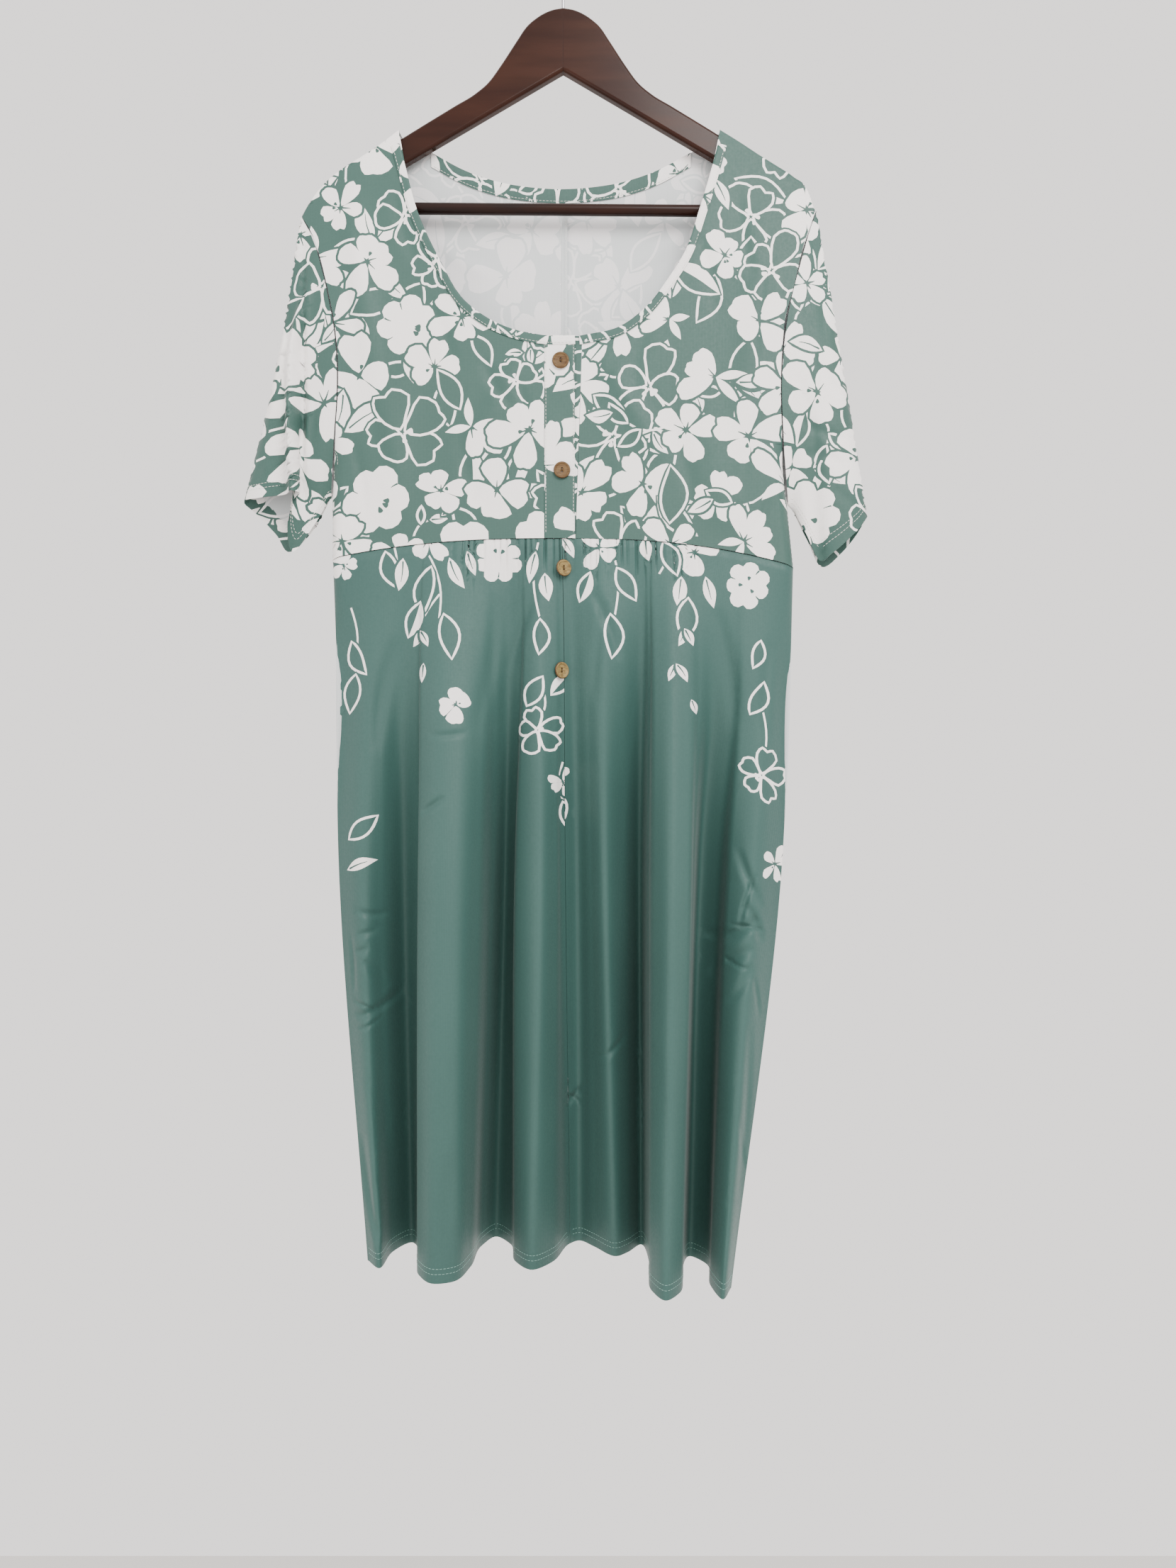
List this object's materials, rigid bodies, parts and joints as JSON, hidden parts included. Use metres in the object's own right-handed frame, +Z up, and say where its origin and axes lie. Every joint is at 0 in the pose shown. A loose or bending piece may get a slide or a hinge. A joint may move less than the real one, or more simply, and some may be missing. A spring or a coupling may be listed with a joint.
{
  "type": "short-sleeved button-up dress on a wooden coat hanger",
  "caption": "Round-necked dress with a buttoned bodice, gathered empire seam and long folded skirt, hanging on a bent wooden coat hanger with a bar and wire hook.",
  "frame": {"origin": "inside top of the hanger's hook, where a rail or peg holds the hanger", "axes": "+Z up; +X to the viewer's right when the buttons face the viewer; +Y away from the viewer; the hanger lies in the plane Y = 0"},
  "size_m": [0.5725, 0.1724, 1.2128],
  "materials": {
    "wood": "dark red-brown gloss lacquer",
    "bar_wood": "dark brown lacquer",
    "steel_wire": "bright drawn wire",
    "printed_cloth": "smooth, slightly satiny grey-green jersey with a white flower print",
    "skirt_cloth": "smooth, slightly satiny grey-green jersey, mostly plain",
    "button": "pale brown, matt, two holes"
  },
  "bodies": {
    "root": {"hanger_arm_left": "wood", "hanger_arm_right": "wood", "hanger_bar": "bar_wood", "hanger_hook": "steel_wire", "bodice_front_left": "printed_cloth", "bodice_front_right": "printed_cloth", "bodice_back_left": "printed_cloth", "bodice_back_right": "printed_cloth", "placket": "printed_cloth", "placket_under": "printed_cloth", "neck_binding_left": "printed_cloth", "neck_binding_right": "printed_cloth", "neck_facing_back": "printed_cloth", "skirt_front_left": "skirt_cloth", "skirt_front_right": "skirt_cloth", "skirt_back": "skirt_cloth", "sleeve_left": "printed_cloth", "sleeve_right": "printed_cloth", "button_1": "button", "button_2": "button", "button_3": "button", "button_4": "button"}
  },
  "joints": []
}
